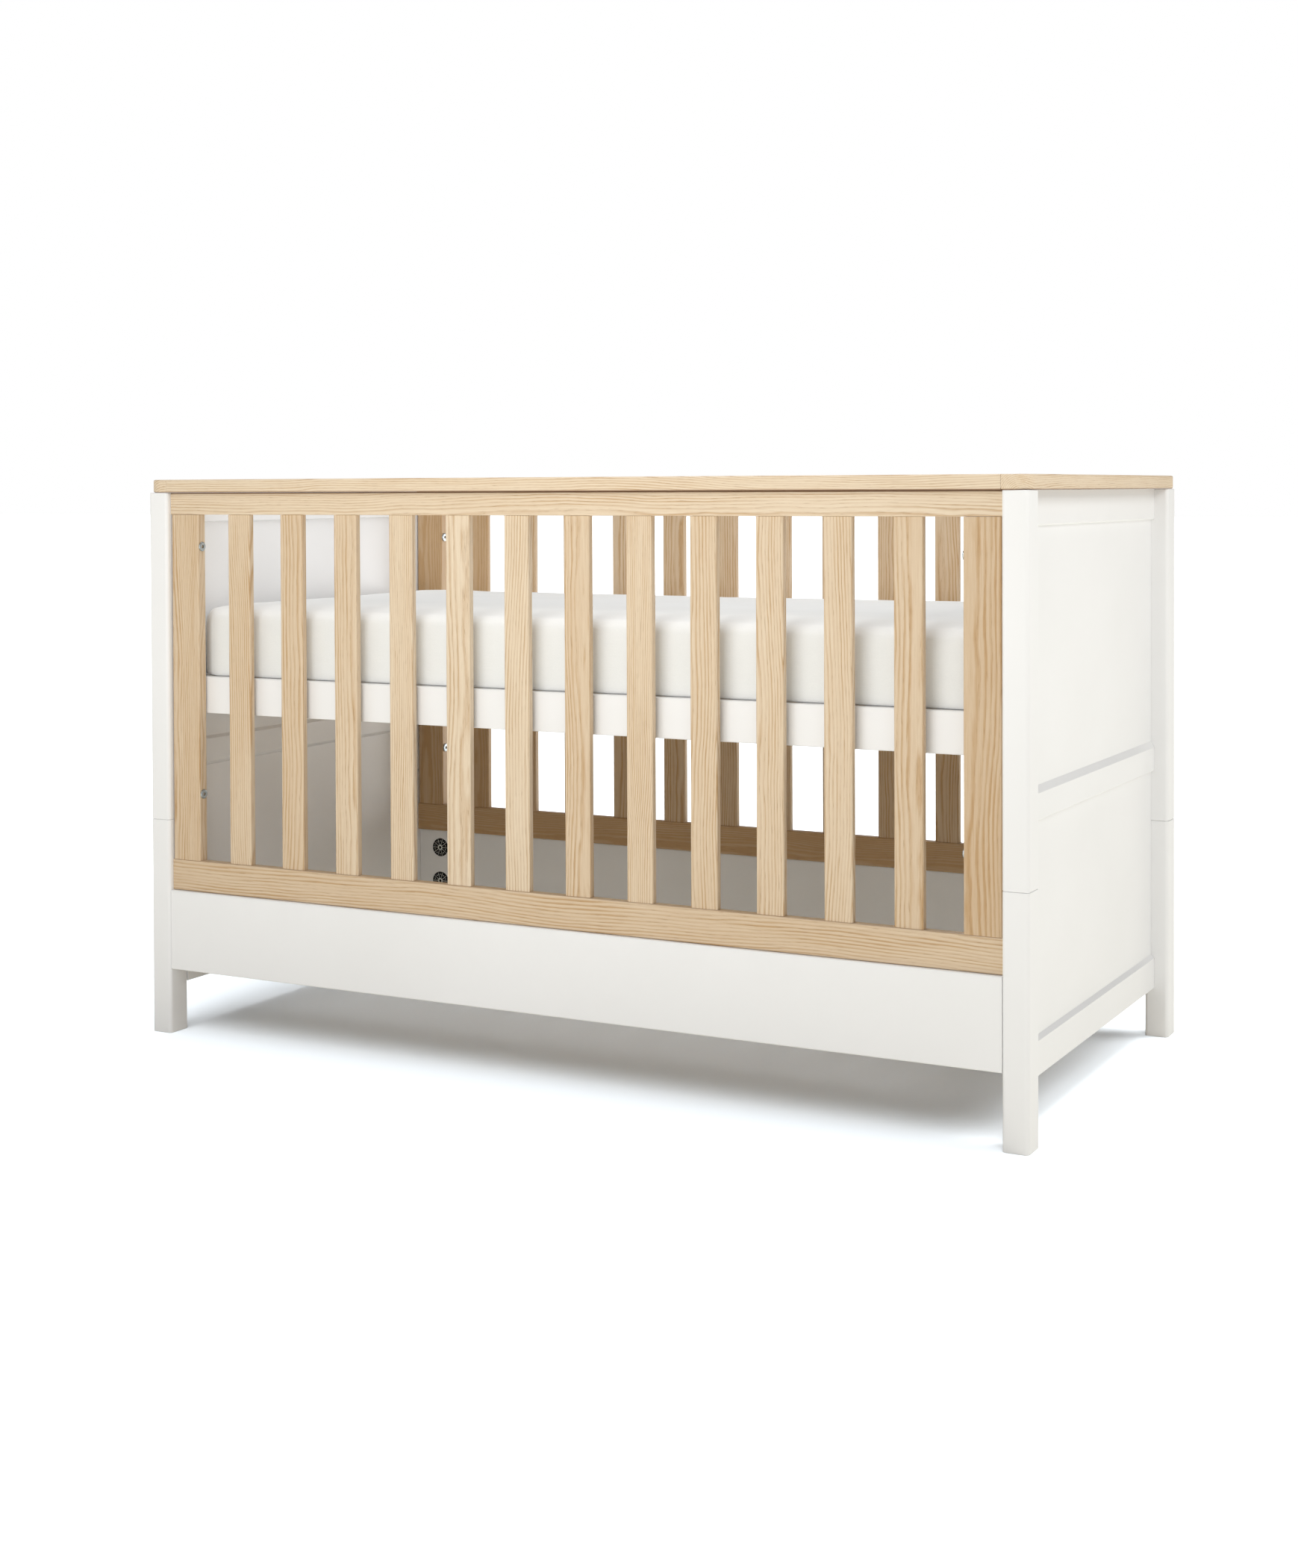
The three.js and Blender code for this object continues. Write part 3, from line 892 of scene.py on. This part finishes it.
@dataclass(frozen=True)
class FittingSet:
    """All the fittings that show: cam locks, side-frame screws and base screws."""

    lock: CamLock = CamLock()
    screw: SocketScrew = SocketScrew()
    plastic: BlackPlastic = BlackPlastic()
    zinc: ZincPlate = ZincPlate()
    side_screw_heights: tuple[float, float] = (0.394, 0.797)
    base_rail_height: float = 60 * MM
    base_rail_thickness: float = 20 * MM

    def cam_locks(self) -> None:
        """Puts a detailed cam lock in place of each CAD one, on its own turning body."""
        material = self.plastic.material()
        for side, facing in (("front", Facing.BACK), ("back", Facing.FRONT)):
            skirt_low, skirt_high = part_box(f"{side}_skirt")
            inner = skirt_high.y if side == "front" else skirt_low.y
            for end in END_SIGN:
                for level in ("upper", "lower"):
                    node = f"{side}_{end}_{level}_cam"
                    low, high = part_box(node)
                    middle = (low + high) / 2
                    place = (middle.x, inner, middle.z)
                    piece = self.lock.build(f"{node}_lock", place, facing, material)
                    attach(piece, node)
                    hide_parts(node)
                    log.info("built %s", piece.name)

    def side_screws(self, material: bpy.types.Material) -> None:
        """Puts two screws in the inner edge of each stile, which hold the side frame to its post.

        Args:
            material: the screws' finish.
        """
        for side in SIDE_SIGN:
            for end, sign in END_SIGN.items():
                low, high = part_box(f"{side}_{end}_stile")
                edge = low.x if sign > 0 else high.x
                facing = Facing.LEFT if sign > 0 else Facing.RIGHT
                for word, height in zip(("lower", "upper"), self.side_screw_heights):
                    place = (edge, (low.y + high.y) / 2, height)
                    name = f"{side}_{end}_{word}_screw"
                    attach(self.screw.build(name, place, facing, material), "cot_frame")
                    log.info("built %s", name)

    def base_screws(self, material: bpy.types.Material) -> None:
        """Puts four screws through the base's side rails, each towards the middle of a stile.

        Args:
            material: the screws' finish.
        """
        low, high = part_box("mattress_base")
        rail_middle = high.z - self.base_rail_height / 2
        for side, across in SIDE_SIGN.items():
            facing = Facing.FRONT if across > 0 else Facing.BACK
            rail_inner = across * (high.y - self.base_rail_thickness)
            for end in END_SIGN:
                stile_low, stile_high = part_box(f"{side}_{end}_stile")
                place = ((stile_low.x + stile_high.x) / 2, rail_inner, rail_middle)
                name = f"{side}_{end}_base_screw"
                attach(self.screw.build(name, place, facing, material), "mattress_base")
                log.info("built %s", name)

    def build(self) -> None:
        """Builds every fitting."""
        self.cam_locks()
        zinc = self.zinc.material()
        self.side_screws(zinc)
        self.base_screws(zinc)


# ---- mattress


@dataclass(frozen=True)
class Mattress:
    """Foam mattress in a close woven cover, swollen by a cloth simulation from a smaller block."""

    finish: Ticking = Ticking()
    node: str = "mattress"
    inset: float = 5 * MM
    voxel: float = 11 * MM
    pressure: float = 4.0
    frames: int = 20
    most_swell: float = 7 * MM
    side_limit: float = 1.2 * MM
    sink: float = 17 * MM
    soft_edge: float = 14 * MM

    def block(self) -> bpy.types.Object:
        """Makes the small start block from a merged copy of the CAD mattress.

        Below its middle the block is drawn out by up to sink, so that settle can press it flat.

        Returns:
            The block.
        """
        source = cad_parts[self.node]
        mesh = source.data.copy()
        mesh.name = "mattress_cover"
        mesh.materials.clear()
        low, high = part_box(self.node)
        centre, half = np.array((low + high) / 2), np.array((high - low) / 2)
        points = (points_of(mesh) - centre) * (half - self.inset) / half
        points[:, 2] -= self.sink * ramp(-points[:, 2], 0, half[2] / 2)
        move_points(mesh, centre + points)
        merged = bmesh.new()
        merged.from_mesh(mesh)
        bmesh.ops.remove_doubles(merged, verts=merged.verts, dist=0.01 * MM)
        bmesh.ops.recalc_face_normals(merged, faces=merged.faces)
        merged.to_mesh(mesh)
        merged.free()
        return add_object("mattress_cover", mesh)

    def apply(self, piece: bpy.types.Object) -> None:
        """Replaces a piece's mesh by what its modifiers make of it.

        Args:
            piece: the piece, which keeps no modifiers.
        """
        shaped = piece.evaluated_get(bpy.context.evaluated_depsgraph_get())
        mesh = bpy.data.meshes.new_from_object(shaped)
        piece.modifiers.clear()
        piece.data = mesh

    def swell(self, piece: bpy.types.Object) -> None:
        """Blows the cover up under pressure, then keeps each point near where it started.

        Args:
            piece: the remeshed cover.
        """
        start = points_of(piece.data)
        cloth = piece.modifiers.new("Cloth", "CLOTH")
        cloth.settings.use_pressure = True
        cloth.settings.uniform_pressure_force = self.pressure
        cloth.settings.quality = 6
        cloth.settings.bending_stiffness = 2.0
        cloth.settings.effector_weights.gravity = 0.0
        cloth.point_cache.frame_start, cloth.point_cache.frame_end = 1, self.frames
        for number in range(1, self.frames + 1):
            bpy.context.scene.frame_set(number)
        self.apply(piece)
        moved = points_of(piece.data) - start
        moved -= moved.mean(axis=0)
        far = np.linalg.norm(moved, axis=1, keepdims=True)
        kept = self.most_swell * np.tanh(far / self.most_swell) / np.maximum(far, 1e-9)
        move_points(piece.data, start + moved * kept)

    def settle(self, piece: bpy.types.Object) -> None:
        """Keeps the cover inside the cot: flat on the base and just clear of the sides.

        A coordinate that passes its limit is pressed back on to it.

        Args:
            piece: the cover.
        """
        low, high = (np.array(corner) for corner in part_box(self.node))
        low = low - [self.side_limit, self.side_limit, 0]
        high = high + [self.side_limit, self.side_limit, self.side_limit]
        move_points(piece.data, np.clip(points_of(piece.data), low, high))

    def build(self) -> bpy.types.Object:
        """Makes the mattress.

        Returns:
            The cover, riding on the mattress's own body.
        """
        piece = self.block()
        remesh = piece.modifiers.new("Remesh", "REMESH")
        remesh.mode = "VOXEL"
        remesh.voxel_size = self.voxel
        self.apply(piece)
        self.swell(piece)
        bpy.context.scene.frame_set(1)
        self.settle(piece)
        piece.data.shade_smooth()
        finer = piece.modifiers.new("Subdivision", "SUBSURF")
        finer.levels = finer.render_levels = 1
        piece.data.materials.append(self.finish.material())
        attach(piece, "mattress")
        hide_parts(self.node)
        log.info("built %s with %d faces", piece.name, len(piece.data.polygons))
        return piece


# ---- studio


def link_light(lamp: bpy.types.Object, thing: bpy.types.Object, state: str) -> None:
    """Lets a lamp light one thing alone, or everything but that thing.

    Args:
        lamp: the lamp.
        thing: what it is about.
        state: INCLUDE or EXCLUDE.
    """
    group = bpy.data.collections.new(f"{lamp.name}_{state.lower()}")
    group.objects.link(thing)
    lamp.light_linking.receiver_collection = group
    group.collection_objects[0].light_linking.link_state = state


@dataclass(frozen=True)
class Softbox:
    """Broad soft lamp that hangs at a place and is aimed at a point of the cot."""

    name: str
    place: tuple[float, float, float]
    aim: tuple[float, float, float]
    size: tuple[float, float]
    watts: float

    def build(self, floor: bpy.types.Object) -> None:
        """Makes the lamp, which lights the cot and leaves the floor to its own lights.

        Args:
            floor: the floor.
        """
        light = bpy.data.lights.new(self.name, "AREA")
        light.shape = "RECTANGLE"
        light.size, light.size_y = self.size
        light.energy = self.watts
        lamp = bpy.data.objects.new(self.name, light)
        away = Vector(self.place) - Vector(self.aim)
        turn = away.to_track_quat("Z", "Y").to_matrix().to_4x4()
        lamp.matrix_world = Matrix.Translation(self.place) @ turn
        lamp.visible_camera = False
        bpy.context.scene.collection.objects.link(lamp)
        link_light(lamp, floor, "EXCLUDE")


@dataclass(frozen=True)
class FloorWash:
    """Broad even light that falls on the floor alone, so that it runs white to the horizon.

    Its azimuth is counted from the front of the bed towards its right end.
    """

    name: str
    azimuth: float
    elevation: float
    spread: float
    strength: float

    def build(self, floor: bpy.types.Object) -> None:
        """Makes the light.

        Args:
            floor: the floor.
        """
        light = bpy.data.lights.new(self.name, "SUN")
        light.angle = math.radians(self.spread)
        light.energy = self.strength
        lamp = bpy.data.objects.new(self.name, light)
        turn, rise = math.radians(self.azimuth), math.radians(self.elevation)
        towards = Vector((math.cos(rise) * math.sin(turn), -math.cos(rise) * math.cos(turn),
                          math.sin(rise)))
        lamp.matrix_world = towards.to_track_quat("Z", "Y").to_matrix().to_4x4()
        bpy.context.scene.collection.objects.link(lamp)
        link_light(lamp, floor, "INCLUDE")


@dataclass(frozen=True)
class Studio:
    """White studio: floor, backdrop, lights and camera."""

    softboxes: tuple[Softbox, ...] = (
        Softbox("key_softbox", (0.03, -1.65, 1.6), (0.03, -0.37, 0.4), (1.1, 0.8), 9),
        Softbox("low_softbox", (-0.03, -1.65, 0.6), (0.0, -0.37, 0.4), (1.0, 0.5), 2.6),
        Softbox("end_softbox", (1.95, -0.4, 1.75), (0.745, -0.1, 0.5), (0.7, 0.7), 10.5),
        Softbox("rim_softbox", (0.1, 2.1, 0.5), (-0.5, 0.0, 0.35), (0.8, 0.5), 10),
        Softbox("left_softbox", (-2.4, 0.5, 1.4), (-0.745, 0.1, 0.5), (0.7, 0.7), 6),
        Softbox("top_softbox", (0.0, 0.1, 2.7), (0.0, 0.0, 0.7), (2.0, 1.2), 22),
    )
    washes: tuple[FloorWash, ...] = (
        FloorWash("front_wash", 16, 48, 40, 2.4),
        FloorWash("overhead_wash", 0, 82, 40, 0.9),
        FloorWash("right_wash", 115, 40, 36, 2.2),
        FloorWash("back_wash", 160, 70, 30, 2.2),
    )
    floor_reach: float = 60.0
    floor_colour: Colour = srgb(241, 248, 254)
    floor_bounce: Colour = srgb(190, 188, 180)
    backdrop: float = 1.0
    room_light: float = 0.3
    eye: tuple[float, float, float] = (1.66178, -3.22296, 0.88816)
    yaw: float = math.radians(28.309)
    pitch: float = math.radians(1.0)
    roll: float = math.radians(-0.228)
    sensor: float = 36.0
    lens: float = 51.06
    shift: tuple[float, float] = (0.01885, -0.16345)

    def floor(self) -> bpy.types.Object:
        """Lays the pale floor, which throws back less light than it shows.

        Returns:
            The floor.
        """
        reach = self.floor_reach
        corners = np.array([(-1, -1, 0), (1, -1, 0), (1, 1, 0), (-1, 1, 0)]) * reach
        mesh = bpy.data.meshes.new("studio_floor")
        mesh.from_pydata(corners.tolist(), [], [(0, 1, 2, 3)])
        material, graph, shader = new_material("studio_floor")
        where = graph.add("ShaderNodeTexCoord", {}).outputs["Object"]
        drift = DRIFT.place(graph, Vector=where, Cloud_Size=0.6, Mottle_Size=0.02).outputs
        rough = graph.math("MULTIPLY_ADD", drift["Cloud"], 0.1, 0.8)
        seen = graph.add("ShaderNodeLightPath", {}).outputs["Is Camera Ray"]
        wire(graph, shader, Roughness=rough,
             Base_Color=graph.mix(seen, self.floor_bounce, self.floor_colour))
        mesh.materials.append(material)
        floor = add_object("studio_floor", mesh)
        return floor

    def room(self) -> None:
        """Sets the room: a white backdrop to look at, and a softer light from all round."""
        world = bpy.data.worlds.new("studio_room")
        world.use_nodes = True
        world.node_tree.nodes.clear()
        graph = Graph(world.node_tree)
        seen = graph.add("ShaderNodeLightPath", {}).outputs["Is Camera Ray"]
        strength = graph.math("MULTIPLY_ADD", seen, self.backdrop - self.room_light,
                              self.room_light)
        light = graph.add("ShaderNodeBackground", {"Color": (1, 1, 1, 1), "Strength": strength})
        graph.add("ShaderNodeOutputWorld", {"Surface": light.outputs[0]})
        bpy.context.scene.world = world

    def camera(self) -> None:
        """Stands the camera off the front right corner, just below the height of the cap."""
        lens = bpy.data.cameras.new("studio_camera")
        lens.sensor_width = self.sensor
        lens.lens = self.lens
        lens.shift_x, lens.shift_y = self.shift
        lens.clip_end = 4 * self.floor_reach
        look = Vector((-math.sin(self.yaw) * math.cos(self.pitch),
                       math.cos(self.yaw) * math.cos(self.pitch), -math.sin(self.pitch)))
        turn = look.to_track_quat("-Z", "Y") @ Quaternion((0, 0, 1), self.roll)
        camera = bpy.data.objects.new("studio_camera", lens)
        camera.matrix_world = Matrix.Translation(self.eye) @ turn.to_matrix().to_4x4()
        bpy.context.scene.collection.objects.link(camera)
        bpy.context.scene.camera = camera

    def build(self) -> None:
        """Builds the studio and shows colours as they are."""
        self.camera()
        self.room()
        floor = self.floor()
        for light in (*self.softboxes, *self.washes):
            light.build(floor)
        bpy.context.scene.view_settings.view_transform = "Standard"


# ---- the whole cot


def main() -> None:
    """Builds the studio, the fittings and the mattress, and dresses the frame."""
    logging.basicConfig(level=logging.INFO, format="%(name)s: %(message)s")
    Studio().build()
    FittingSet().build()
    Mattress().build()
    JoineryDressing().dress()


if __name__ == "__main__":
    main()
